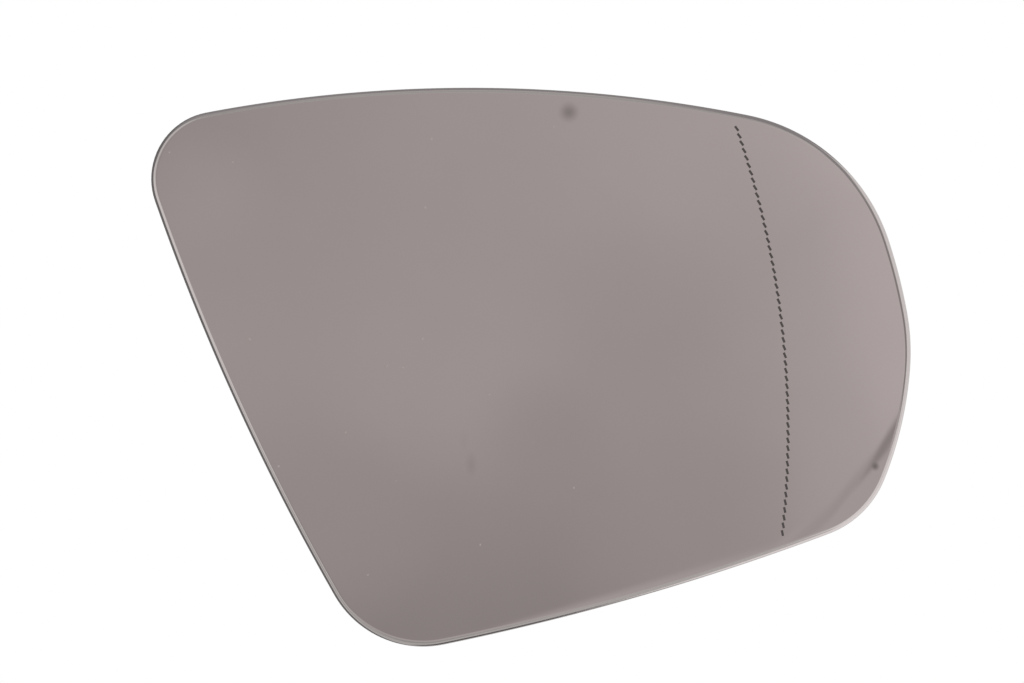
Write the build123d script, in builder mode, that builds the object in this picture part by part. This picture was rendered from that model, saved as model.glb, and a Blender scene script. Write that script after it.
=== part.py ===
"""Heated convex glass for a right-hand car door mirror, bonded to the carrier that clips it on.

The glass faces -Y, +Z is up and +X points outboard, away from the car. The origin is on the axis of the
carrier's snap ring, at the plane where its hooks catch behind the actuator's disc. Millimetres.
"""

import os
from math import asin, cos, degrees, hypot, radians, sin, sqrt

from build123d import *

os.makedirs("parts", exist_ok=True)

# Outline of the glass from the front: corner points before rounding, and the radius of each corner
inboard_bottom = (-43.2, -82.1)
outboard_bottom = (84.6, -46.3)
outboard_middle = (96.5, 0.9)
outboard_top = (78.7, 52.6)
inboard_top = (-105.6, 54.9)
inboard_bottom_radius = 26.4
outboard_bottom_radius = 24.9
outboard_middle_radius = 56.6
outboard_top_radius = 48.6
inboard_top_radius = 17.4

# How far each side bows out from the straight line between its corners
bottom_bow = 3.25
outboard_lower_bow = 3.15
outboard_upper_bow = 2.7
top_bow = 11.6
inboard_bow = 4.5

# Curved form of the glass: a sphere that tightens outboard, from just short of the dashed line
main_radius = 1260.0
blend_radius = 400.0
blend_width = 13.5
blend_lead = 1.5
edge_radius = 220.0
asphere_tilt = 8.0
asphere_turn = 187.7

# Glass and its dashed dividing line
glass_thickness = 3.0
edge_land = 0.1
dash_ring_radius = 237.3
dash_line_turn = -1.26
dash_count = 54
dash_pitch = 2.0
dash_length = 1.5
dash_width = 0.6
dash_depth = 0.1
dash_slant = 18.0

# Heater mat between the glass and the carrier, with a film of adhesive on each side
heater_thickness = 0.5
heater_inset = 3.0
bond_film = 0.05

# Carrier plate and its ribs
carrier_inset = 1.2
plate_thickness = 2.0
rib_height = 3.5
rib_width = 1.4
rib_count = 12
rim_rib_inset = 1.8
rim_rib_width = 1.6

# Snap ring for the actuator's disc
snap_radius = 32.0
barb_depth = 1.4
barb_land = 1.2
lead_in_height = 2.3
finger_wall = 2.0
finger_count = 8
finger_span = 36.0
disc_rim_thickness = 2.8
snap_play = 0.2
stop_drop = 1.0
core_clearance = 0.3
seat_clearance = 2.5
seat_width = 5.5
seat_height = 4.0
guard_gap = 2.1
guard_wall = 1.8
guard_drop = 1.5

# Blade terminals of the heater and the window they stand in
terminal_gap = 4.6
terminal_spacing = 13.0
terminal_height = 12.0
blade_width = 6.3
blade_thickness = 0.8
blade_hole = 1.8
blade_hole_drop = 3.2
blade_taper = 1.0
foot_length = 9.0
bend_radius = 0.8
solder_film = 0.05
window_margin = 2.2
window_corner = 2.0
window_wall = 1.4

# Depths below the front face, and places along the ring's axis
heater_depth = glass_thickness + bond_film
heater_back = heater_depth + heater_thickness
plate_depth = heater_back + bond_film
back_depth = plate_depth + plate_thickness
rib_depth = back_depth + rib_height
seat_y = -disc_rim_thickness - snap_play
back_y = seat_y - seat_height
face_y = back_y - back_depth
ring_root_y = back_y - plate_thickness / 2
sphere_centre = Vector(0, face_y + main_radius, 0)

# Rings of the snap, from its hooks outwards
seat_radius = snap_radius - seat_clearance
finger_radius = snap_radius + barb_depth
finger_outside = finger_radius + finger_wall
finger_top = barb_land + lead_in_height
guard_radius = finger_outside + guard_gap
guard_outside = guard_radius + guard_wall

# Window of the terminals, inboard of the guard ring
window_length = foot_length + 2 * window_margin
window_height = terminal_spacing + blade_width + 2 * window_margin
terminal_x = -guard_outside - terminal_gap - window_wall - window_length / 2

# Outline loops
corners = [inboard_bottom, outboard_bottom, outboard_middle, outboard_top, inboard_top]
corner_radii = [
    inboard_bottom_radius,
    outboard_bottom_radius,
    outboard_middle_radius,
    outboard_top_radius,
    inboard_top_radius,
]
side_bows = [bottom_bow, outboard_lower_bow, outboard_upper_bow, top_bow, inboard_bow]
glass_reach = max(hypot(*corner) for corner in corners)

# The tightening zones are turned about an axis through the sphere's centre, tilted towards inboard
turn = radians(asphere_turn)
tilt = radians(asphere_tilt)
asphere_direction = Vector(sin(tilt) * cos(turn), -cos(tilt), sin(tilt) * sin(turn))
away_from_glass = Vector(cos(tilt) * cos(turn), sin(tilt), cos(tilt) * sin(turn))
asphere_axis = Axis(sphere_centre, asphere_direction)
meridian = Plane(sphere_centre, x_dir=away_from_glass, z_dir=away_from_glass.cross(asphere_direction))


def polar(centre, radius, angle):
    """Point of the meridian at an angle from the asphere's axis."""
    return (centre[0] + radius * sin(radians(angle)), centre[1] + radius * cos(radians(angle)))


dash_angle = degrees(asin(dash_ring_radius / main_radius))
blend_start = dash_angle - degrees(blend_lead / main_radius)
blend_end = blend_start + degrees(blend_width / blend_radius)
edge_end = blend_end + degrees(glass_reach / edge_radius)
main_centre = (0, 0)
blend_centre = polar(main_centre, main_radius - blend_radius, blend_start)
edge_centre = polar(blend_centre, blend_radius - edge_radius, blend_end)
zones = [
    (main_centre, main_radius, 0, blend_start),
    (blend_centre, blend_radius, blend_start, blend_end),
    (edge_centre, edge_radius, blend_end, edge_end),
]


def layer_section(front, back):
    """Meridian section of one layer of the curved form, between two depths below the front face."""
    with BuildSketch(meridian) as section:
        with BuildLine():
            for depth in (front, back):
                for centre, radius, start, end in zones:
                    CenterArc(centre, radius - depth, 90 - end, end - start)
            Line((0, main_radius - front), (0, main_radius - back))
            Line(
                polar(edge_centre, edge_radius - front, edge_end),
                polar(edge_centre, edge_radius - back, edge_end),
            )
        make_face()
    return section.sketch


def glass_outline(inset=0.0):
    """Outline of the glass from the front, drawn in by an inset about the centres of its arcs."""
    with BuildSketch() as edge_line:
        with BuildLine():
            for start, end, bow in zip(corners, corners[1:] + corners[:1], side_bows):
                SagittaArc(start, end, -bow)
        make_face()
        for corner, radius in zip(corners, corner_radii):
            fillet(edge_line.vertices().sort_by_distance(corner)[0], radius)
    with BuildSketch(Plane.XZ) as outline:
        with BuildLine():
            for arc in edge_line.edges():
                centre = arc.arc_center
                share = 1 - inset / arc.radius
                ThreePointArc(*[centre + (arc @ place - centre) * share for place in (0, 0.5, 1)])
        make_face()
    return outline.sketch


def back_plane(x, z, depth):
    """Plane on the main sphere at a depth below the front face, its normal towards the back."""
    radius = main_radius - depth
    point = Vector(x, sphere_centre.Y - sqrt(radius**2 - x**2 - z**2), z)
    return Plane(point, x_dir=(1, 0, 0), z_dir=sphere_centre - point)


# Dashes of the dividing line, as deep as they are engraved
dash_plane = Plane(
    sphere_centre + asphere_direction * (main_radius * cos(radians(dash_angle))),
    x_dir=-away_from_glass,
    z_dir=asphere_direction,
)
dash_step = degrees(dash_pitch / dash_ring_radius)
first_dash = dash_line_turn - dash_step * (dash_count - 1) / 2
with BuildPart() as dashes:
    with BuildSketch(dash_plane):
        with PolarLocations(dash_ring_radius, dash_count, first_dash, dash_step * dash_count):
            Rectangle(dash_width, dash_length, rotation=dash_slant)
    extrude(amount=glass_thickness, both=True)
    revolve(layer_section(-glass_thickness, dash_depth), asphere_axis, mode=Mode.INTERSECT)

# Convex glass with a pencil-ground edge
with BuildPart() as mirror_glass:
    revolve(layer_section(0, glass_thickness), asphere_axis)
    extrude(glass_outline(), amount=glass_reach, both=True, mode=Mode.INTERSECT)
    wall = mirror_glass.faces().filter_by(GeomType.CYLINDER)
    fillet(wall.edges().filter_by(Axis.Y, reverse=True), (glass_thickness - edge_land) / 2)
    add(dashes.part, mode=Mode.SUBTRACT)
mirror_glass.part.label = "mirror_glass"
export_step(mirror_glass.part, "parts/mirror_glass.step")

# Heater mat, a foil pressed between the glass and the carrier
with BuildPart() as heater_mat:
    revolve(layer_section(heater_depth, heater_back), asphere_axis)
    extrude(glass_outline(heater_inset), amount=glass_reach, both=True, mode=Mode.INTERSECT)
heater_mat.part.label = "heater_mat"
export_step(heater_mat.part, "parts/heater_mat.step")

# Ribs that stand on the back of the carrier's plate, with a wall around the terminals' window
rim_rib = carrier_inset + rim_rib_inset
with BuildSketch(Plane.XZ) as window:
    with Locations((terminal_x, 0)):
        RectangleRounded(window_length, window_height, window_corner)
with BuildSketch(Plane.XZ) as spokes:
    with PolarLocations(0, rib_count, start_angle=180 / rib_count):
        Rectangle(glass_reach, rib_width, align=(Align.MIN, Align.CENTER))
    Circle(guard_radius + guard_wall / 2, mode=Mode.SUBTRACT)
    add(glass_outline(rim_rib + rim_rib_width / 2), mode=Mode.INTERSECT)
with BuildPart() as ribs:
    with BuildSketch(Plane.XZ):
        add(glass_outline(rim_rib))
        add(glass_outline(rim_rib + rim_rib_width), mode=Mode.SUBTRACT)
        add(spokes.sketch)
        with Locations((terminal_x, 0)):
            RectangleRounded(
                window_length + 2 * window_wall,
                window_height + 2 * window_wall,
                window_corner + window_wall,
            )
    extrude(amount=glass_reach, both=True)
    revolve(
        layer_section(plate_depth + plate_thickness / 2, rib_depth),
        asphere_axis,
        mode=Mode.INTERSECT,
    )

# Half sections of the snap ring, as points at a radius and a place along its axis
hook_section = [
    (finger_radius, ring_root_y),
    (finger_radius, 0),
    (snap_radius, 0),
    (snap_radius, barb_land),
    (finger_radius, finger_top),
    (finger_outside, finger_top),
    (finger_outside, ring_root_y),
]
stop_section = [
    (finger_radius, ring_root_y),
    (finger_radius, -stop_drop),
    (finger_outside, -stop_drop),
    (finger_outside, ring_root_y),
]
core_section = [
    (snap_radius - core_clearance, face_y),
    (snap_radius - core_clearance, 0),
    (finger_radius, 0),
    (finger_radius, face_y),
]
seat_section = [
    (seat_radius - seat_width, ring_root_y),
    (seat_radius - seat_width, seat_y),
    (seat_radius, seat_y),
    (seat_radius, ring_root_y),
]
guard_section = [
    (guard_radius, ring_root_y),
    (guard_radius, -guard_drop),
    (guard_outside, -guard_drop),
    (guard_outside, ring_root_y),
]


def turn_section(points, start=0.0, span=360.0, mode=Mode.ADD):
    """Turns a half section of the snap ring about the ring's axis."""
    with BuildSketch(Plane.XY.rotated((0, start, 0))) as section:
        with BuildLine():
            Polyline(*points, close=True)
        make_face()
    revolve(section.sketch, Axis.Y, span, mode=mode)


# Moulded carrier: plate, ribs, seat, guard ring, and hooks that alternate with stops
with BuildPart() as carrier:
    revolve(layer_section(plate_depth, back_depth), asphere_axis)
    extrude(glass_outline(carrier_inset), amount=glass_reach, both=True, mode=Mode.INTERSECT)
    add(ribs.part)
    turn_section(seat_section)
    turn_section(guard_section)
    for finger in range(finger_count):
        start = finger * 360 / finger_count - finger_span / 2
        if finger % 2:
            turn_section(stop_section, start, finger_span)
        else:
            turn_section(core_section, start, finger_span, Mode.SUBTRACT)
            turn_section(hook_section, start, finger_span)
    extrude(window.sketch, amount=glass_reach, both=True, mode=Mode.SUBTRACT)
carrier.part.label = "carrier"
export_step(carrier.part, "parts/carrier.step")

# Blade terminals of the heater, soldered to the mat
blade_x = foot_length / 2 - blade_thickness
for name, side in (("terminal_upper", 1), ("terminal_lower", -1)):
    foot = back_plane(terminal_x, side * terminal_spacing / 2, heater_back).offset(solder_film)
    flank = Plane(foot.origin, x_dir=foot.x_dir, z_dir=-foot.y_dir)
    blade = Plane(flank.from_local_coords((blade_x, terminal_height)), x_dir=foot.y_dir, z_dir=foot.x_dir)
    with BuildPart() as terminal:
        with BuildSketch(flank) as bend:
            with BuildLine():
                Polyline(
                    (-foot_length / 2, 0),
                    (foot_length / 2, 0),
                    (foot_length / 2, terminal_height),
                    (blade_x, terminal_height),
                    (blade_x, blade_thickness),
                    (-foot_length / 2, blade_thickness),
                    close=True,
                )
            make_face()
            fillet(bend.vertices().sort_by_distance((foot_length / 2, 0))[0], bend_radius + blade_thickness)
            fillet(bend.vertices().sort_by_distance((blade_x, blade_thickness))[0], bend_radius)
        extrude(amount=blade_width / 2, both=True)
        tip_edges = terminal.edges().filter_by(Axis(foot.origin, foot.x_dir))
        chamfer(tip_edges.sort_by(Axis(foot.origin, foot.z_dir))[-2:], blade_taper)
        with BuildSketch(blade):
            with Locations((0, -blade_hole_drop)):
                Circle(blade_hole / 2)
        extrude(amount=blade_thickness, mode=Mode.SUBTRACT)
    terminal.part.label = name
    export_step(terminal.part, f"parts/{name}.step")
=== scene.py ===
"""Looks of a heated door mirror glass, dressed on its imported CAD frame.

The frame is in metres: +X outboard, +Y towards the actuator, +Z up, with the mirror face towards -Y.
"""

import math

import bmesh
import bpy
from bpy.props import FloatProperty, FloatVectorProperty, IntProperty, PointerProperty
from mathutils import Matrix, Vector


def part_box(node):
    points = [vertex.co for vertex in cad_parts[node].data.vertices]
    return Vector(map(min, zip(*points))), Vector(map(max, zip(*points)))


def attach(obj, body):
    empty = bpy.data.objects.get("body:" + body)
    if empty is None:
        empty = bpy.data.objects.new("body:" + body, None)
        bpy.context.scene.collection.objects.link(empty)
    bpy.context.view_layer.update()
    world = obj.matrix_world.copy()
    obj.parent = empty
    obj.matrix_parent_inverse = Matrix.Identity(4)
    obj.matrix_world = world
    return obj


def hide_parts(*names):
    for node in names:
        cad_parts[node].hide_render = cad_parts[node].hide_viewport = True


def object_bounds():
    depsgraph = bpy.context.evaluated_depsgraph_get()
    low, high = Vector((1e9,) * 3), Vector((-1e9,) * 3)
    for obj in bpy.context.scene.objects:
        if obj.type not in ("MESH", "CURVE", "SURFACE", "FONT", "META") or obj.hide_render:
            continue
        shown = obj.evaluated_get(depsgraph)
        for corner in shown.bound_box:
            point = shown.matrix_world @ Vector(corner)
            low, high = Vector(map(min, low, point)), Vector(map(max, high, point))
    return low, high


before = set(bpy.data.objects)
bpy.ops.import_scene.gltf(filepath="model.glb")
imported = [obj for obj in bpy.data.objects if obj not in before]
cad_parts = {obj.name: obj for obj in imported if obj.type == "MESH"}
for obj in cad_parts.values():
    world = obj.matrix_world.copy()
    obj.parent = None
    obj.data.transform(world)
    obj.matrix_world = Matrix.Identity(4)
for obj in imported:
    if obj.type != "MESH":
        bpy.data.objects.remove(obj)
cad_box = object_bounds()

bl_info = {
    "name": "Door mirror glass",
    "version": (1, 0, 0),
    "blender": (4, 5, 0),
    "location": "View3D > Sidebar > Mirror",
    "description": "Builds the coated glass, its dashes and the finishes of the parts behind it",
    "category": "Object",
}

# Outline of the glass from the front: corner before rounding, corner radius, and bow of the side after it
OUTLINE = (
    (Vector((-0.0432, -0.0821)), 0.0264, 0.00325),
    (Vector((0.0846, -0.0463)), 0.0249, 0.00315),
    (Vector((0.0965, 0.0009)), 0.0566, 0.00270),
    (Vector((0.0787, 0.0526)), 0.0486, 0.01160),
    (Vector((-0.1056, 0.0549)), 0.0174, 0.00450),
)

# Spacing of the mesh along the outline, and the fewest steps on one of its arcs
RIM_SPACING = 0.0014
FEWEST_RIM_STEPS = 3

# Rings of the mesh from the middle to the rim, in front and behind, and the last one's share of the way
FRONT_RINGS = 44
BACK_RINGS = 10
LAST_RING = 0.996

# Steps of the mesh over each half of the rounded edge
EDGE_STEPS = 7

# Rounds of correction that bring a point onto the curved face
SETTLING_STEPS = 9

# Material slots of the glass
COAT, EDGE, PAINT = range(3)

# Darker spots in the coat's colour: place across and up, width, height and darkness
COAT_DARK_SPOTS = (
    (0.0078, 0.0590, 0.0066, 0.0066, 0.56),
    (0.0871, -0.0325, 0.0028, 0.0030, 0.75),
    (-0.0193, -0.0257, 0.0036, 0.0080, 0.04),
    (-0.0174, -0.0318, 0.0040, 0.0084, 0.14),
)

# How far the filling of the dashes stands out of the glass
DASH_PROUD = 0.00001

# Inputs of the node tree that makes the dividing line
DASH_INPUTS = (
    ("Count", "NodeSocketInt"),
    ("Ring radius", "NodeSocketFloat"),
    ("First", "NodeSocketFloat"),
    ("Step", "NodeSocketFloat"),
    ("Size", "NodeSocketVector"),
    ("Sink", "NodeSocketVector"),
    ("Slant", "NodeSocketVector"),
    ("Lean", "NodeSocketVector"),
    ("Centre", "NodeSocketVector"),
    ("Turn", "NodeSocketVector"),
    ("Finish", "NodeSocketMaterial"),
)

# Range that a noise pattern mostly stays in, and the targets of a mask that rises or falls
NOISE_SPAN = (0.3, 0.7)
RISING = (0.0, 1.0)
FALLING = (1.0, 0.0)

# Colour inputs and colour output of a mix node, which also has sockets for other kinds of value
MIX_COLOURS = slice(6, 8)
MIX_RESULT = 2

# Floor: sides of its rim, share of its radius where it starts to fade, and the glow that lifts it to white
FLOOR_SIDES = 64
FLOOR_FADE = 0.35
FLOOR_GLOW = 0.24

# Light tent, a sphere around the part that only shiny faces show
TENT_RADIUS = 5.0
TENT_COLUMNS = 32
TENT_ROWS = 16

# Grey of the tent from its foot to eye height, by the height of the direction
FOOT_HEIGHTS = (-0.22, 0.0)
FOOT_GREYS = (0.378, 0.508)

# Grey that the tent gains towards the right
RIGHT_PLACES = (0.05, 0.45)
RIGHT_GAINS = (0.0, 0.16)

# Slope of the grey from left to right, which comes in above eye height
SLOPE_HEIGHTS = (0.0, 0.14)
SLOPE = 0.36
SLOPE_LIFT = 0.03

# Panels of the tent, each over those before it: direction, cosines where it starts and is full, and grey.
# A panel whose second cosine is over 1 is never full and stays faint.
TENT_PANELS = (
    ("middle shade", (0.070, -0.997, -0.007), 0.9945, 1.003, 0.48),
    ("middle glow", (-0.059, -0.998, -0.007), 0.9940, 1.004, 0.535),
    ("low middle glow", (0.106, -0.985, -0.135), 0.9945, 1.003, 0.47),
    ("low left glow", (-0.125, -0.983, -0.125), 0.9970, 1.0015, 0.465),
    ("low middle shade", (0.010, -0.996, -0.065), 0.9985, 1.0012, 0.45),
    ("upper left glow", (-0.215, -0.972, 0.093), 0.9985, 1.0015, 0.53),
    ("low right glow", (0.262, -0.957, -0.115), 0.989, 1.0075, 0.575),
    ("low front sheet", (0.285, 0.0, -0.9585), 0.173, 0.1785, 0.56),
    ("low right shade", (0.33, 0.0, -0.944), 0.180, 0.1905, 0.50),
    ("right shade", (0.50, 0.0, -0.866), 0.2363, 0.2445, 0.37),
    ("low corner sheet", (0.33, 0.0, -0.944), 0.192, 0.198, 0.56),
    ("low right sheet", (0.50, 0.0, -0.866), 0.2460, 0.257, 0.56),
    ("low corner panel", (0.68, -0.62, -0.40), 0.895, 0.94, 0.95),
    ("top shade", (0.15, -0.75, 0.64), 0.90, 0.97, 0.47),
    ("top flag", (0.0, 0.5, 0.866), 0.62, 0.78, 0.32),
    ("right flag", (0.66, -0.733, 0.165), 0.9484, 0.9524, 0.33),
    ("upper right flag", (0.67, -0.545, 0.503), 0.950, 0.975, 0.31),
    ("upper right shade", (0.51, -0.375, 0.774), 0.9135, 0.956, 0.31),
    ("right sheet", (0.966, -0.259, -0.05), 0.78, 0.85, 0.85),
    ("right panel", (0.88, 0.40, -0.20), 0.58, 0.72, 0.82),
    ("tip shade", (-0.15, -0.80, -0.58), 0.955, 0.985, 0.40),
    ("low front panel", (0.26, -0.55, -0.79), 0.955, 0.98, 0.57),
    ("low flag", (0.235, 0.17, -0.957), 0.92, 0.945, 0.12),
    ("low right panel", (0.75, 0.10, -0.65), 0.81, 0.85, 1.0),
    ("left sheet", (-0.78, -0.58, -0.27), 0.80, 0.88, 0.84),
    ("inboard flag", (-0.52, -0.66, -0.54), 0.92, 0.97, 0.5),
    ("upper left sheet", (-0.60, -0.70, 0.38), 0.93, 0.97, 0.68),
    ("left flag", (-0.80, 0.58, -0.10), 0.50, 0.60, 0.19),
)

# Lamps: name, place, size and power in watts
LAMPS = (
    ("key_lamp", (1.1, -1.5, 1.5), 0.9, 16),
    ("fill_lamp", (-1.4, -1.2, 0.9), 0.9, 7),
    ("back_lamp", (-1.0, 1.5, 1.3), 0.8, 16),
    ("back_fill_lamp", (1.3, 1.4, 0.5), 0.8, 8),
)


class GlassSettings(bpy.types.PropertyGroup):
    """Sizes and finishes of the coated glass."""

    main_radius: FloatProperty(
        name="Main radius",
        description="Radius of the sphere that most of the face follows",
        default=1.26,
        unit="LENGTH",
    )
    blend_radius: FloatProperty(
        name="Blend radius",
        description="Radius of the first tighter zone",
        default=0.4,
        unit="LENGTH",
    )
    blend_width: FloatProperty(
        name="Blend width",
        description="Width of the first tighter zone",
        default=0.0135,
        unit="LENGTH",
    )
    blend_lead: FloatProperty(
        name="Blend lead",
        description="How far inboard of the dashes the face starts to tighten",
        default=0.0015,
        unit="LENGTH",
    )
    edge_radius: FloatProperty(
        name="Edge radius",
        description="Radius of the outermost zone",
        default=0.22,
        unit="LENGTH",
    )
    axis_tilt: FloatProperty(
        name="Axis tilt",
        description="Tilt of the axis that the tighter zones turn about",
        default=math.radians(8.0),
        subtype="ANGLE",
    )
    axis_turn: FloatProperty(
        name="Axis turn",
        description="Direction in which that axis is tilted",
        default=math.radians(187.7),
        subtype="ANGLE",
    )
    thickness: FloatProperty(
        name="Thickness",
        description="Thickness of the glass",
        default=0.003,
        unit="LENGTH",
    )
    edge_land: FloatProperty(
        name="Edge land",
        description="Flat left between the two rounded halves of the ground edge",
        default=0.0001,
        unit="LENGTH",
    )
    coat_colour: FloatVectorProperty(
        name="Coat",
        description="Reflection colour of the coat",
        default=(0.62, 0.537, 0.528),
        subtype="COLOR",
    )
    edge_colour: FloatVectorProperty(
        name="Ground edge",
        description="Reflection colour of the ground edge",
        default=(0.66, 0.605, 0.596),
        subtype="COLOR",
    )
    paint_colour: FloatVectorProperty(
        name="Back paint",
        description="Colour of the protective paint on the back",
        default=(0.11, 0.11, 0.115),
        subtype="COLOR",
    )


class DashSettings(bpy.types.PropertyGroup):
    """Sizes and colour of the dashed dividing line."""

    count: IntProperty(name="Count", description="Number of dashes", default=54)
    ring_radius: FloatProperty(
        name="Ring radius",
        description="Radius of the arc that the dashes follow",
        default=0.2373,
        unit="LENGTH",
    )
    pitch: FloatProperty(
        name="Pitch",
        description="Distance from dash to dash along the arc",
        default=0.002,
        unit="LENGTH",
    )
    turn: FloatProperty(
        name="Turn",
        description="Place of the line's middle along the arc",
        default=math.radians(-1.26),
        subtype="ANGLE",
    )
    length: FloatProperty(name="Length", description="Length of a dash", default=0.0015, unit="LENGTH")
    width: FloatProperty(name="Width", description="Width of a dash", default=0.0006, unit="LENGTH")
    depth: FloatProperty(name="Depth", description="Depth of a dash", default=0.0001, unit="LENGTH")
    slant: FloatProperty(
        name="Slant",
        description="Angle between a dash and the arc",
        default=math.radians(18.0),
        subtype="ANGLE",
    )
    colour: FloatVectorProperty(
        name="Colour",
        description="Colour of the etched dashes",
        default=(0.064, 0.055, 0.053),
        subtype="COLOR",
    )


class BackSettings(bpy.types.PropertyGroup):
    """Colours of the parts behind the glass."""

    plastic_colour: FloatVectorProperty(
        name="Carrier",
        description="Colour of the moulded carrier",
        default=(0.035, 0.035, 0.037),
        subtype="COLOR",
    )
    film_colour: FloatVectorProperty(
        name="Heater film",
        description="Colour of the heater's film",
        default=(0.24, 0.22, 0.20),
        subtype="COLOR",
    )
    track_colour: FloatVectorProperty(
        name="Heater tracks",
        description="Colour of the printed tracks under the film",
        default=(0.50, 0.40, 0.31),
        subtype="COLOR",
    )
    tin_colour: FloatVectorProperty(
        name="Blade terminals",
        description="Colour of the tin plating",
        default=(0.78, 0.76, 0.70),
        subtype="COLOR",
    )


class StageSettings(bpy.types.PropertyGroup):
    """Camera, floor and light around the part."""

    camera_distance: FloatProperty(
        name="Camera distance",
        description="Distance from the camera to the glass",
        default=1.25,
        unit="LENGTH",
    )
    frame_width: FloatProperty(
        name="Frame width",
        description="Width of the picture at the glass",
        default=0.2639,
        unit="LENGTH",
    )
    view_across: FloatProperty(
        name="View across",
        description="Place across the part that the camera looks at",
        default=-0.00688,
        unit="LENGTH",
    )
    view_height: FloatProperty(
        name="View height",
        description="Height that the camera looks at",
        default=-0.00018,
        unit="LENGTH",
    )
    floor_drop: FloatProperty(
        name="Floor drop",
        description="Gap between the part's lowest point and the floor",
        default=0.06,
        unit="LENGTH",
    )
    floor_radius: FloatProperty(
        name="Floor radius",
        description="Reach of the round floor, which fades out towards its rim",
        default=0.5,
        unit="LENGTH",
    )
    floor_colour: FloatVectorProperty(
        name="Floor",
        description="Colour of the floor",
        default=(0.82, 0.82, 0.82),
        subtype="COLOR",
    )
    ambient: FloatProperty(
        name="Ambient",
        description="Strength of the light from all round",
        default=0.55,
    )


class MirrorSettings(bpy.types.PropertyGroup):
    """All settings of the door mirror glass."""

    glass: PointerProperty(name="Glass", description="Coated glass", type=GlassSettings)
    dashes: PointerProperty(name="Dashes", description="Dividing line", type=DashSettings)
    back: PointerProperty(name="Back", description="Parts behind the glass", type=BackSettings)
    stage: PointerProperty(name="Stage", description="Camera, floor and light", type=StageSettings)


class CurvedFace:
    """Front of the glass and its parallel layers: a sphere, then two tighter zones about a tilted axis."""

    def __init__(self, glass, ring_radius):
        tilt = glass.axis_tilt
        turn_x, turn_z = math.cos(glass.axis_turn), math.sin(glass.axis_turn)
        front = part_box("mirror_glass")[0].y
        self.tilt = tilt
        self.centre = Vector((0, front + glass.main_radius, 0))
        self.axis = Vector((math.sin(tilt) * turn_x, -math.cos(tilt), math.sin(tilt) * turn_z))
        self.away = Vector((math.cos(tilt) * turn_x, math.sin(tilt), math.cos(tilt) * turn_z))
        dash = math.asin(ring_radius / glass.main_radius)
        start = dash - glass.blend_lead / glass.main_radius
        end = start + glass.blend_width / glass.blend_radius
        middle = Vector((math.sin(start), math.cos(start))) * (glass.main_radius - glass.blend_radius)
        outer = middle + Vector((math.sin(end), math.cos(end))) * (glass.blend_radius - glass.edge_radius)
        self.zones = (
            (Vector((0, 0)), glass.main_radius, start),
            (middle, glass.blend_radius, end),
            (outer, glass.edge_radius, math.pi / 2),
        )

    def section(self, reach, depth):
        """Middle and radius of the zone at a distance from the axis, and the layer's height there."""
        for middle, radius, end in self.zones:
            if reach <= middle.x + (radius - depth) * math.sin(end):
                break
        across = reach - middle.x
        return middle, radius - depth, middle.y + math.sqrt((radius - depth) ** 2 - across**2)

    def split(self, point):
        """Height along the axis and offset from it."""
        arm = point - self.centre
        height = arm.dot(self.axis)
        return height, arm - self.axis * height

    def point(self, x, z, depth=0.0):
        """Point at a depth below the front, straight behind a place in the outline."""
        radius = self.zones[0][1] - depth
        point = Vector((x, self.centre.y - math.sqrt(radius**2 - x**2 - z**2), z))
        for _ in range(SETTLING_STEPS):
            height, offset = self.split(point)
            point.y += (height - self.section(offset.length, depth)[2]) / math.cos(self.tilt)
        return point

    def normal(self, point, depth=0.0):
        """Outward direction of the front at a point of a layer."""
        height, offset = self.split(point)
        middle = self.section(offset.length, depth)[0]
        outward = offset.normalized() * (offset.length - middle.x)
        return (outward + self.axis * (height - middle.y)).normalized()


def side_arcs():
    """Centre and radius of each bowed side, in the order of the corners that they start from."""
    arcs = []
    for (start, _, bow), (end, _, _) in zip(OUTLINE, OUTLINE[1:] + OUTLINE[:1]):
        chord = end - start
        radius = (chord.length_squared / 4 + bow**2) / (2 * bow)
        outward = Vector((chord.y, -chord.x)).normalized()
        arcs.append((start + chord / 2 + outward * (bow - radius), radius))
    return arcs


def corner_arc(corner, radius, before, after):
    """Centre of a rounded corner between two sides, and the places where it takes over and hands over."""
    (before_centre, before_radius), (after_centre, after_radius) = before, after
    before_reach, after_reach = before_radius - radius, after_radius - radius
    span = after_centre - before_centre
    along = (before_reach**2 - after_reach**2 + span.length_squared) / (2 * span.length)
    aside = math.sqrt(before_reach**2 - along**2)
    heading = span.normalized()
    across = Vector((-heading.y, heading.x))
    found = [before_centre + heading * along + across * side * aside for side in (1, -1)]
    middle = min(found, key=lambda place: (place - corner).length)
    enter = before_centre + (middle - before_centre).normalized() * before_radius
    leave = after_centre + (middle - after_centre).normalized() * after_radius
    return middle, enter, leave


def arc_places(centre, radius, start, end):
    """Places along an arc, anticlockwise and without its end, each with its outward direction."""
    first = math.atan2(start.y - centre.y, start.x - centre.x)
    sweep = (math.atan2(end.y - centre.y, end.x - centre.x) - first) % math.tau
    steps = max(FEWEST_RIM_STEPS, round(radius * sweep / RIM_SPACING))
    places = []
    for step in range(steps):
        angle = first + sweep * step / steps
        outward = Vector((math.cos(angle), math.sin(angle)))
        places.append((centre + outward * radius, outward))
    return places


def rounded_outline():
    """Places along the rounded outline, anticlockwise from the front, each with its outward direction."""
    sides = side_arcs()
    corners = [
        corner_arc(corner, radius, sides[index - 1], sides[index])
        for index, (corner, radius, _) in enumerate(OUTLINE)
    ]
    places = []
    for index, (_, radius, _) in enumerate(OUTLINE):
        middle, enter, leave = corners[index]
        following = corners[(index + 1) % len(corners)][1]
        places += arc_places(middle, radius, enter, leave)
        places += arc_places(*sides[index], leave, following)
    return places


def add_node(tree, kind, values=None, **settings):
    """New node with its settings and the values of its inputs."""
    node = tree.nodes.new(kind)
    for name, value in settings.items():
        setattr(node, name, value)
    for name, value in (values or {}).items():
        node.inputs[name].default_value = value
    return node


def own_place(tree):
    """Coordinates of the piece itself."""
    return tree.nodes.new("ShaderNodeTexCoord").outputs["Object"]


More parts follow.
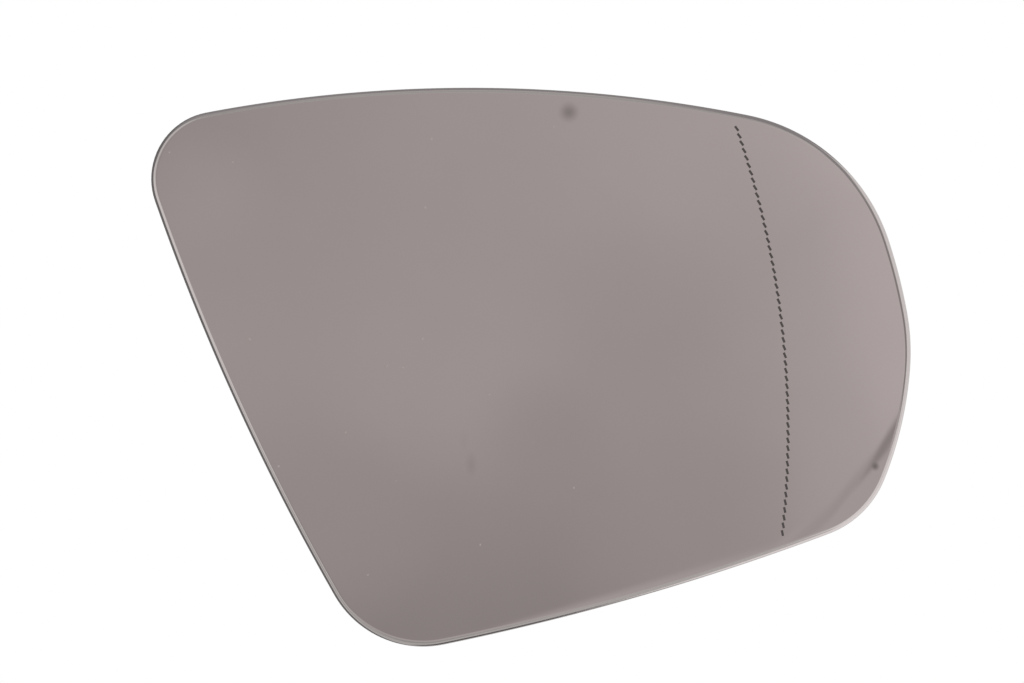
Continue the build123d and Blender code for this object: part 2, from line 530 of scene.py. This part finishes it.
def new_material(name):
    """Empty node material, its tree and its output."""
    material = bpy.data.materials.new(name)
    material.use_nodes = True
    tree = material.node_tree
    tree.nodes.clear()
    return material, tree, tree.nodes.new("ShaderNodeOutputMaterial")


def new_finish(name, metallic=0.0):
    """Material with one principled shader, its tree, the shader and the piece's own coordinates."""
    material, tree, output = new_material(name)
    shader = add_node(tree, "ShaderNodeBsdfPrincipled", {"Metallic": metallic})
    tree.links.new(shader.outputs["BSDF"], output.inputs["Surface"])
    return material, tree, shader, own_place(tree)


def noise(tree, place, scale, detail=2.0, roughness=0.5):
    """Noise on a piece's own coordinates, as a value near a half."""
    node = add_node(tree, "ShaderNodeTexNoise", {"Scale": scale, "Detail": detail, "Roughness": roughness})
    tree.links.new(place, node.inputs["Vector"])
    return node.outputs["Fac"]


def remap(tree, value, span, target, smooth=False):
    """Value stretched from one range to another and held inside it."""
    names = ("From Min", "From Max", "To Min", "To Max")
    node = add_node(tree, "ShaderNodeMapRange", dict(zip(names, (*span, *target))))
    node.interpolation_type = "SMOOTHSTEP" if smooth else "LINEAR"
    tree.links.new(value, node.inputs["Value"])
    return node.outputs["Result"]


def combine(tree, operation, *values):
    """Result of one operation on values of the tree and plain numbers."""
    node = add_node(tree, "ShaderNodeMath", operation=operation)
    for socket, value in zip(node.inputs, values):
        if isinstance(value, (int, float)):
            socket.default_value = value
        else:
            tree.links.new(value, socket)
    return node.outputs["Value"]


def length_of(tree, vector):
    """Length of a vector."""
    node = add_node(tree, "ShaderNodeVectorMath", operation="LENGTH")
    tree.links.new(vector, node.inputs[0])
    return node.outputs["Value"]


def parts_of(tree, vector):
    """Parts of a vector along each axis."""
    node = tree.nodes.new("ShaderNodeSeparateXYZ")
    tree.links.new(vector, node.inputs["Vector"])
    return node.outputs


def blend_colours(tree, factor, first, second):
    """Mix of two colours by a factor."""
    node = add_node(tree, "ShaderNodeMix", data_type="RGBA")
    tree.links.new(factor, node.inputs["Factor"])
    for socket, colour in zip(node.inputs[MIX_COLOURS], (first, second)):
        if isinstance(colour, bpy.types.NodeSocket):
            tree.links.new(colour, socket)
        else:
            socket.default_value = (*colour, 1.0)
    return node.outputs[MIX_RESULT]


def scaled(colour, share):
    """Colour made lighter or darker."""
    return tuple(part * share for part in colour)


def mottled(tree, pattern, colour, tones):
    """Colour that a pattern takes from a darker tone to a lighter one."""
    darkest, lightest = tones
    return blend_colours(tree, pattern, scaled(colour, darkest), scaled(colour, lightest))


def emboss(tree, shader, height, strength, distance):
    """Bumps on a shader where a pattern is high."""
    bump = add_node(tree, "ShaderNodeBump", {"Strength": strength, "Distance": distance})
    tree.links.new(height, bump.inputs["Height"])
    tree.links.new(bump.outputs["Normal"], shader.inputs["Normal"])


def spot(tree, place, centre, width, height):
    """Soft spot, full in its middle and gone at half its width and height."""
    offset = add_node(tree, "ShaderNodeVectorMath", operation="SUBTRACT")
    offset.inputs[1].default_value = centre
    tree.links.new(place, offset.inputs[0])
    share = add_node(tree, "ShaderNodeVectorMath", operation="DIVIDE")
    share.inputs[1].default_value = (width / 2, width / 2, height / 2)
    tree.links.new(offset.outputs["Vector"], share.inputs[0])
    return remap(tree, length_of(tree, share.outputs["Vector"]), RISING, FALLING, smooth=True)


def dust_specks(tree, place):
    """Specks of dust, thinly strewn over the inboard half of the face."""
    speck_rim, strewn, inboard_end = (0.035, 0.06), (0.48, 0.52), (0.0, 0.03)
    cells = add_node(tree, "ShaderNodeTexVoronoi", {"Scale": 150.0})
    tree.links.new(place, cells.inputs["Vector"])
    specks = remap(tree, cells.outputs["Distance"], speck_rim, FALLING)
    rare = remap(tree, noise(tree, place, scale=60.0), strewn, RISING)
    inboard = remap(tree, parts_of(tree, place)["X"], inboard_end, FALLING)
    return combine(tree, "MULTIPLY", specks, combine(tree, "MULTIPLY", rare, inboard))


def coat_material(glass, face):
    """Reflective coat with a few darker spots, dust and handling haze."""
    tones, smear_span, roughness = (0.985, 1.015), (0.45, 0.8), (0.018, 0.05)
    dark_spot_tone, dust_tone, dust_cover, dust_roughness = 0.35, 1.3, 0.4, 0.5
    material, tree, shader, place = new_finish("mirror_coat", metallic=1.0)
    drift = remap(tree, noise(tree, place, scale=26.0, detail=3.0), NOISE_SPAN, RISING)
    colour = mottled(tree, drift, glass.coat_colour, tones)
    for x, z, width, height, darkness in COAT_DARK_SPOTS:
        dark_spot = combine(tree, "MULTIPLY", spot(tree, place, face.point(x, z), width, height), darkness)
        colour = blend_colours(tree, dark_spot, colour, scaled(glass.coat_colour, dark_spot_tone))
    specks = dust_specks(tree, place)
    pale = combine(tree, "MULTIPLY", specks, dust_cover)
    colour = blend_colours(tree, pale, colour, scaled(glass.coat_colour, dust_tone))
    tree.links.new(colour, shader.inputs["Base Color"])
    smear = noise(tree, place, scale=14.0, detail=5.0, roughness=0.6)
    haze = remap(tree, smear, smear_span, roughness)
    dull = combine(tree, "MULTIPLY", specks, dust_roughness)
    tree.links.new(combine(tree, "ADD", haze, dull), shader.inputs["Roughness"])
    return material


def grained_material(name, colour, tones, roughness, scale, detail=2.0, metallic=0.0):
    """Finish whose colour and roughness follow one fine grain."""
    material, tree, shader, place = new_finish(name, metallic)
    grain = noise(tree, place, scale, detail)
    tree.links.new(mottled(tree, grain, colour, tones), shader.inputs["Base Color"])
    tree.links.new(remap(tree, grain, NOISE_SPAN, roughness), shader.inputs["Roughness"])
    return material


def edge_material(glass):
    """Ground edge under the same coat: fine grinding marks make it half dull."""
    tones, roughness = (0.95, 1.05), (0.10, 0.16)
    return grained_material(
        "ground_edge", glass.edge_colour, tones, roughness, scale=1400.0, detail=3.0, metallic=1.0
    )


def paint_material(glass):
    """Protective paint on the back of the glass."""
    tones, roughness = (0.9, 1.1), (0.45, 0.6)
    return grained_material("back_paint", glass.paint_colour, tones, roughness, scale=700.0)


def dash_material(dashes):
    """Etched and darkened strokes."""
    tones, roughness = (0.7, 1.4), (0.5, 0.75)
    return grained_material("etched_dash", dashes.colour, tones, roughness, scale=5200.0)


def plastic_material(back):
    """Moulded black plastic with a fine grain and a slightly uneven gloss."""
    tones, roughness, grain_roughness = (0.75, 1.35), (0.36, 0.46), 0.1
    material, tree, shader, place = new_finish("carrier_plastic")
    cloud = noise(tree, place, scale=35.0, detail=4.0)
    tree.links.new(mottled(tree, cloud, back.plastic_colour, tones), shader.inputs["Base Color"])
    grain = noise(tree, place, scale=1500.0, detail=3.0)
    uneven = remap(tree, cloud, NOISE_SPAN, roughness)
    dull = combine(tree, "MULTIPLY", grain, grain_roughness)
    tree.links.new(combine(tree, "ADD", uneven, dull), shader.inputs["Roughness"])
    emboss(tree, shader, grain, strength=0.35, distance=0.0001)
    return material


def foil_material(back):
    """Heater film over printed tracks that run up and down."""
    tones, roughness, track_rim = (0.85, 1.15), (0.28, 0.42), (0.42, 0.55)
    material, tree, shader, place = new_finish("heater_foil")
    wave = add_node(tree, "ShaderNodeTexWave", {"Scale": 105.0, "Distortion": 0.4}, bands_direction="X")
    tree.links.new(place, wave.inputs["Vector"])
    track = remap(tree, wave.outputs["Fac"], track_rim, RISING, smooth=True)
    worn = noise(tree, place, scale=400.0, detail=3.0)
    film = mottled(tree, worn, back.film_colour, tones)
    tree.links.new(blend_colours(tree, track, film, back.track_colour), shader.inputs["Base Color"])
    tree.links.new(remap(tree, worn, NOISE_SPAN, roughness), shader.inputs["Roughness"])
    emboss(tree, shader, track, strength=0.4, distance=0.00008)
    return material


def tin_material(back):
    """Tin-plated blade with faint drawing lines along it."""
    tones, roughness, line_stretch = (0.86, 1.08), (0.24, 0.42), (1.0, 0.06, 1.0)
    material, tree, shader, place = new_finish("tin_plate", metallic=1.0)
    drawn = add_node(tree, "ShaderNodeMapping", {"Scale": line_stretch})
    tree.links.new(place, drawn.inputs["Vector"])
    lines = noise(tree, drawn.outputs["Vector"], scale=5000.0, detail=3.0)
    cloud = noise(tree, place, scale=500.0, detail=3.0)
    tree.links.new(mottled(tree, cloud, back.tin_colour, tones), shader.inputs["Base Color"])
    tree.links.new(remap(tree, lines, NOISE_SPAN, roughness), shader.inputs["Roughness"])
    return material


def finish_node(name, material):
    """CAD node with one finish."""
    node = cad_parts[name]
    node.data.materials.clear()
    node.data.materials.append(material)


def new_object(name, data):
    """Object at the origin of the scene, with its data."""
    made = bpy.data.objects.new(name, data)
    bpy.context.scene.collection.objects.link(made)
    return made


def edge_rings(glass, face):
    """Rings of points over the rounded edge, from the front's rim to the back's."""
    ball = (glass.thickness - glass.edge_land) / 2
    rings = [[] for _ in range(2 * (EDGE_STEPS + 1))]
    for place, outward in rounded_outline():
        wall = Vector((outward.x, 0, outward.y))
        inner = place - outward * ball
        for depth, side in ((ball, 1), (glass.thickness - ball, -1)):
            middle = face.point(inner.x, inner.y, depth)
            lift = face.normal(middle, depth) * side
            swing = lift.angle(wall)
            for step in range(EDGE_STEPS + 1):
                share = step / EDGE_STEPS
                turned = lift * math.sin((1 - share) * swing) + wall * math.sin(share * swing)
                ring = rings[step] if side > 0 else rings[-1 - step]
                ring.append(middle + turned / math.sin(swing) * ball)
    return rings


def glass_shell(glass, face):
    """Points, faces and material slots of the closed glass, in rings from the front to the back."""
    edge = edge_rings(glass, face)
    front_shares = [step / FRONT_RINGS for step in range(1, FRONT_RINGS)] + [LAST_RING]
    back_shares = [LAST_RING] + [step / BACK_RINGS for step in range(BACK_RINGS - 1, 0, -1)]
    rings = [[face.point(rim.x * share, rim.z * share) for rim in edge[0]] for share in front_shares]
    rings += edge
    for share in back_shares:
        rings.append([face.point(rim.x * share, rim.z * share, glass.thickness) for rim in edge[-1]])
    bands = [COAT] * len(front_shares) + [EDGE] * (len(edge) - 1) + [PAINT] * len(back_shares)
    count = len(edge[0])
    points = [point for ring in rings for point in ring]
    last, front_pole, back_pole = len(points) - count, len(points), len(points) + 1
    points += [face.point(0, 0), face.point(0, 0, glass.thickness)]
    faces, slots = [], []
    for index in range(count):
        after = (index + 1) % count
        faces.append((front_pole, index, after))
        for band in range(len(bands)):
            low, high = band * count, (band + 1) * count
            faces.append((low + index, high + index, high + after, low + after))
        faces.append((back_pole, last + after, last + index))
        slots += [COAT, *bands, PAINT]
    return points, faces, slots


class MIRROR_OT_glass(bpy.types.Operator):
    """Make the coated glass with its ground edge"""

    bl_idname = "mirror.glass"
    bl_label = "Coated glass"

    def execute(self, context):
        settings = context.scene.mirror_glass
        glass = settings.glass
        face = CurvedFace(glass, settings.dashes.ring_radius)
        points, faces, slots = glass_shell(glass, face)
        mesh = bpy.data.meshes.new("coated_glass")
        mesh.from_pydata(points, [], faces)
        for material in (coat_material(glass, face), edge_material(glass), paint_material(glass)):
            mesh.materials.append(material)
        mesh.polygons.foreach_set("material_index", slots)
        mesh.polygons.foreach_set("use_smooth", [True] * len(faces))
        mesh.update()
        piece = new_object("coated_glass", mesh)
        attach(piece, "root")
        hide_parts("mirror_glass")
        return {"FINISHED"}


def arc_points(tree, inputs, angle):
    """Points along an arc about the origin, one for each dash."""
    link = tree.links.new
    line = add_node(tree, "GeometryNodeMeshLine", {"Offset": (0, 0, 0)})
    link(inputs["Count"], line.inputs["Count"])
    place = tree.nodes.new("ShaderNodeCombineXYZ")
    for part, operation in (("X", "COSINE"), ("Y", "SINE")):
        reach = combine(tree, "MULTIPLY", combine(tree, operation, angle), inputs["Ring radius"])
        link(reach, place.inputs[part])
    spread = tree.nodes.new("GeometryNodeSetPosition")
    link(line.outputs["Mesh"], spread.inputs["Geometry"])
    link(place.outputs["Vector"], spread.inputs["Position"])
    return spread.outputs["Geometry"]


def slanted_stroke(tree, inputs):
    """One dash, sunk into the face, slanted to the arc and leaning with the face."""
    link = tree.links.new
    stroke = tree.nodes.new("GeometryNodeMeshCube")
    link(inputs["Size"], stroke.inputs["Size"])
    shape = stroke.outputs["Mesh"]
    for socket, source in (("Translation", "Sink"), ("Rotation", "Slant"), ("Rotation", "Lean")):
        move = tree.nodes.new("GeometryNodeTransform")
        link(shape, move.inputs["Geometry"])
        link(inputs[source], move.inputs[socket])
        shape = move.outputs["Geometry"]
    return shape


def dash_tree():
    """Node tree that sets slanted dashes along an arc and turns the arc into place."""
    tree = bpy.data.node_groups.new("dividing_line", "GeometryNodeTree")
    tree.is_modifier = True
    for name, kind in DASH_INPUTS:
        tree.interface.new_socket(name, in_out="INPUT", socket_type=kind)
    tree.interface.new_socket("Geometry", in_out="OUTPUT", socket_type="NodeSocketGeometry")
    inputs = tree.nodes.new("NodeGroupInput").outputs
    outputs = tree.nodes.new("NodeGroupOutput").inputs
    link = tree.links.new
    index = tree.nodes.new("GeometryNodeInputIndex").outputs["Index"]
    angle = combine(tree, "ADD", combine(tree, "MULTIPLY", index, inputs["Step"]), inputs["First"])
    heading = tree.nodes.new("ShaderNodeCombineXYZ")
    link(angle, heading.inputs["Z"])
    copies = tree.nodes.new("GeometryNodeInstanceOnPoints")
    link(arc_points(tree, inputs, angle), copies.inputs["Points"])
    link(slanted_stroke(tree, inputs), copies.inputs["Instance"])
    link(heading.outputs["Vector"], copies.inputs["Rotation"])
    seat = tree.nodes.new("GeometryNodeTransform")
    link(copies.outputs["Instances"], seat.inputs["Geometry"])
    link(inputs["Centre"], seat.inputs["Translation"])
    link(inputs["Turn"], seat.inputs["Rotation"])
    real = tree.nodes.new("GeometryNodeRealizeInstances")
    link(seat.outputs["Geometry"], real.inputs["Geometry"])
    paint = tree.nodes.new("GeometryNodeSetMaterial")
    link(real.outputs["Geometry"], paint.inputs["Geometry"])
    link(inputs["Finish"], paint.inputs["Material"])
    link(paint.outputs["Geometry"], outputs["Geometry"])
    return tree


def nodes_to_mesh(name, tree, values):
    """Plain mesh object made by a node tree from named inputs."""
    maker = new_object(name, bpy.data.meshes.new(name))
    modifier = maker.modifiers.new("maker", "NODES")
    modifier.node_group = tree
    for item in tree.interface.items_tree:
        if item.in_out == "INPUT" and item.name in values:
            modifier[item.identifier] = values[item.name]
    graph = bpy.context.evaluated_depsgraph_get()
    made = bpy.data.meshes.new_from_object(maker.evaluated_get(graph), depsgraph=graph)
    maker.modifiers.remove(modifier)
    maker.data = made
    if not made.polygons:
        raise RuntimeError(f"the node tree of {name} made no faces")
    return maker


class MIRROR_OT_dashes(bpy.types.Operator):
    """Set the etched dashes of the dividing line into the coat"""

    bl_idname = "mirror.dashes"
    bl_label = "Dividing line"

    def execute(self, context):
        settings = context.scene.mirror_glass
        dashes = settings.dashes
        face = CurvedFace(settings.glass, dashes.ring_radius)
        middle, radius, height = face.section(dashes.ring_radius, 0.0)
        lean = math.asin((dashes.ring_radius - middle.x) / radius)
        inward = -face.away
        turned = Matrix((inward, face.axis.cross(inward), face.axis)).transposed()
        step = dashes.pitch / dashes.ring_radius
        piece = nodes_to_mesh(
            "dividing_line",
            dash_tree(),
            {
                "Count": dashes.count,
                "Ring radius": dashes.ring_radius,
                "First": dashes.turn - step * (dashes.count - 1) / 2,
                "Step": step,
                "Size": (dashes.width, dashes.length, dashes.depth),
                "Sink": (0.0, 0.0, DASH_PROUD - dashes.depth / 2),
                "Slant": (0.0, 0.0, dashes.slant),
                "Lean": (0.0, lean, 0.0),
                "Centre": tuple(face.centre + face.axis * height),
                "Turn": tuple(turned.to_euler()),
                "Finish": dash_material(dashes),
            },
        )
        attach(piece, "root")
        return {"FINISHED"}


class MIRROR_OT_carrier(bpy.types.Operator):
    """Finish the moulded carrier"""

    bl_idname = "mirror.carrier"
    bl_label = "Carrier"

    def execute(self, context):
        finish_node("carrier", plastic_material(context.scene.mirror_glass.back))
        return {"FINISHED"}


class MIRROR_OT_heater(bpy.types.Operator):
    """Finish the heater mat and its blade terminals"""

    bl_idname = "mirror.heater"
    bl_label = "Heater and terminals"

    def execute(self, context):
        back = context.scene.mirror_glass.back
        finish_node("heater_mat", foil_material(back))
        tin = tin_material(back)
        finish_node("terminal_upper", tin)
        finish_node("terminal_lower", tin)
        return {"FINISHED"}


def seen_factor(tree):
    """One for rays from the camera and rays that a shiny or clear surface sends on, zero for the rest."""
    path = tree.nodes.new("ShaderNodeLightPath").outputs
    shiny = combine(tree, "MAXIMUM", path["Is Glossy Ray"], path["Is Transmission Ray"])
    return combine(tree, "MAXIMUM", path["Is Camera Ray"], shiny)


def floor_material(stage):
    """Pale floor that reads as white, keeps the part's shadow and fades out towards its rim."""
    tones = (0.99, 1.01)
    material, tree, output = new_material("pale_floor")
    place = own_place(tree)
    matte = tree.nodes.new("ShaderNodeBsdfDiffuse")
    cloud = noise(tree, place, scale=3.0)
    tree.links.new(mottled(tree, cloud, stage.floor_colour, tones), matte.inputs["Color"])
    glow = tree.nodes.new("ShaderNodeEmission")
    tree.links.new(combine(tree, "MULTIPLY", seen_factor(tree), FLOOR_GLOW), glow.inputs["Strength"])
    both = tree.nodes.new("ShaderNodeAddShader")
    tree.links.new(matte.outputs["BSDF"], both.inputs[0])
    tree.links.new(glow.outputs["Emission"], both.inputs[1])
    clear = tree.nodes.new("ShaderNodeBsdfTransparent")
    fading = (FLOOR_FADE * stage.floor_radius, stage.floor_radius)
    fade = tree.nodes.new("ShaderNodeMixShader")
    tree.links.new(remap(tree, length_of(tree, place), fading, RISING, smooth=True), fade.inputs["Fac"])
    tree.links.new(both.outputs["Shader"], fade.inputs[1])
    tree.links.new(clear.outputs["BSDF"], fade.inputs[2])
    tree.links.new(fade.outputs["Shader"], output.inputs["Surface"])
    return material


def add_floor(stage):
    """Round floor below the part, which the shiny faces don't show."""
    level = cad_box[0].z - stage.floor_drop
    turns = [math.tau * step / FLOOR_SIDES for step in range(FLOOR_SIDES)]
    radius = stage.floor_radius
    rim = [(radius * math.cos(turn), radius * math.sin(turn), level) for turn in turns]
    mesh = bpy.data.meshes.new("floor")
    mesh.from_pydata(rim, [], [range(FLOOR_SIDES)])
    mesh.materials.append(floor_material(stage))
    floor = new_object("floor", mesh)
    floor.visible_glossy = False
    return floor


def tent_grey(tree, aim):
    """Soft grey of the tent, before its panels, by direction."""
    parts = parts_of(tree, aim)
    across, up = parts["X"], parts["Z"]
    slope = combine(tree, "ADD", combine(tree, "MULTIPLY", across, SLOPE), SLOPE_LIFT)
    slope = combine(tree, "MULTIPLY", slope, remap(tree, up, SLOPE_HEIGHTS, RISING))
    gain = combine(tree, "MAXIMUM", remap(tree, across, RIGHT_PLACES, RIGHT_GAINS, smooth=True), slope)
    gain = combine(tree, "ADD", gain, combine(tree, "MINIMUM", slope, 0.0))
    return combine(tree, "ADD", gain, remap(tree, up, FOOT_HEIGHTS, FOOT_GREYS, smooth=True))


def tent_panel(tree, aim, level, panel):
    """Grey of the tent with one more panel laid over it."""
    name, direction, start, full, grey = panel
    facing = add_node(tree, "ShaderNodeVectorMath", operation="DOT_PRODUCT", label=name)
    facing.inputs[1].default_value = Vector(direction).normalized()
    tree.links.new(aim, facing.inputs[0])
    mask = remap(tree, facing.outputs["Value"], (start, full), RISING, smooth=True)
    mix = add_node(tree, "ShaderNodeMix", {"B": grey}, data_type="FLOAT", label=name)
    tree.links.new(mask, mix.inputs["Factor"])
    tree.links.new(level, mix.inputs["A"])
    return mix.outputs["Result"]


def tent_material():
    """Light tent: a soft grey with bright and dark panels set in it."""
    material, tree, output = new_material("light_tent")
    aim = add_node(tree, "ShaderNodeVectorMath", operation="NORMALIZE")
    tree.links.new(own_place(tree), aim.inputs[0])
    level = tent_grey(tree, aim.outputs["Vector"])
    for panel in TENT_PANELS:
        level = tent_panel(tree, aim.outputs["Vector"], level, panel)
    glow = tree.nodes.new("ShaderNodeEmission")
    tree.links.new(level, glow.inputs["Strength"])
    tree.links.new(glow.outputs["Emission"], output.inputs["Surface"])
    return material


def add_tent():
    """Light tent around the part, which only the shiny faces show."""
    sphere = bmesh.new()
    bmesh.ops.create_uvsphere(sphere, u_segments=TENT_COLUMNS, v_segments=TENT_ROWS, radius=TENT_RADIUS)
    mesh = bpy.data.meshes.new("light_tent")
    sphere.to_mesh(mesh)
    sphere.free()
    mesh.materials.append(tent_material())
    tent = new_object("light_tent", mesh)
    tent.visible_camera = False
    tent.visible_diffuse = False
    tent.visible_shadow = False
    return tent


def add_lamp(name, place, size, power):
    """Square soft lamp aimed at the part, which the shiny faces don't show."""
    lamp = bpy.data.lights.new(name, "AREA")
    lamp.size = size
    lamp.energy = power
    lamp_object = new_object(name, lamp)
    lamp_object.location = place
    lamp_object.rotation_euler = Vector(place).to_track_quat("Z", "Y").to_euler()
    lamp_object.visible_glossy = False


def add_world(stage):
    """World that looks white and lights the part with the ambient strength."""
    world = bpy.data.worlds.new("studio")
    bpy.context.scene.world = world
    world.use_nodes = True
    tree = world.node_tree
    backdrop = tree.nodes["Background"]
    backdrop.inputs["Color"].default_value = (1, 1, 1, 1)
    lift = combine(tree, "MULTIPLY", seen_factor(tree), 1.0 - stage.ambient)
    tree.links.new(combine(tree, "ADD", lift, stage.ambient), backdrop.inputs["Strength"])


def add_camera(stage):
    """Camera in front of the glass that looks straight back along +Y."""
    camera = bpy.data.cameras.new("camera")
    camera.lens = camera.sensor_width * stage.camera_distance / stage.frame_width
    camera_object = new_object("camera", camera)
    camera_object.location = (stage.view_across, cad_box[0].y - stage.camera_distance, stage.view_height)
    camera_object.rotation_euler = (math.pi / 2, 0, 0)
    bpy.context.scene.camera = camera_object


class MIRROR_OT_stage(bpy.types.Operator):
    """Set up the floor, the light tent, the lamps and the camera"""

    bl_idname = "mirror.stage"
    bl_label = "Stage"

    def execute(self, context):
        stage = context.scene.mirror_glass.stage
        floor = add_floor(stage)
        tent = add_tent()
        for lamp in LAMPS:
            add_lamp(*lamp)
        add_world(stage)
        add_camera(stage)
        context.scene.view_settings.view_transform = "Standard"
        return {"FINISHED"}


class MIRROR_PT_panel(bpy.types.Panel):
    """Pieces and settings of the door mirror glass"""

    bl_idname = "MIRROR_PT_panel"
    bl_label = "Door mirror glass"
    bl_space_type = "VIEW_3D"
    bl_region_type = "UI"
    bl_category = "Mirror"

    def draw(self, context):
        settings = context.scene.mirror_glass
        for group in (settings.glass, settings.dashes, settings.back, settings.stage):
            box = self.layout.box()
            for name in group.bl_rna.properties.keys():
                if name not in {"rna_type", "name"}:
                    box.prop(group, name)
        for operator in PIECES:
            self.layout.operator(operator.bl_idname)


PIECES = (MIRROR_OT_glass, MIRROR_OT_dashes, MIRROR_OT_carrier, MIRROR_OT_heater, MIRROR_OT_stage)
CLASSES = (
    GlassSettings,
    DashSettings,
    BackSettings,
    StageSettings,
    MirrorSettings,
    *PIECES,
    MIRROR_PT_panel,
)


def register():
    """Add the classes and the settings to Blender."""
    for item in CLASSES:
        bpy.utils.register_class(item)
    bpy.types.Scene.mirror_glass = PointerProperty(type=MirrorSettings)


def unregister():
    """Take the classes and the settings out of Blender."""
    del bpy.types.Scene.mirror_glass
    for item in reversed(CLASSES):
        bpy.utils.unregister_class(item)


def main():
    """Build every piece and the stage."""
    register()
    bpy.ops.mirror.glass()
    bpy.ops.mirror.dashes()
    bpy.ops.mirror.carrier()
    bpy.ops.mirror.heater()
    bpy.ops.mirror.stage()


if __name__ == "__main__":
    main()
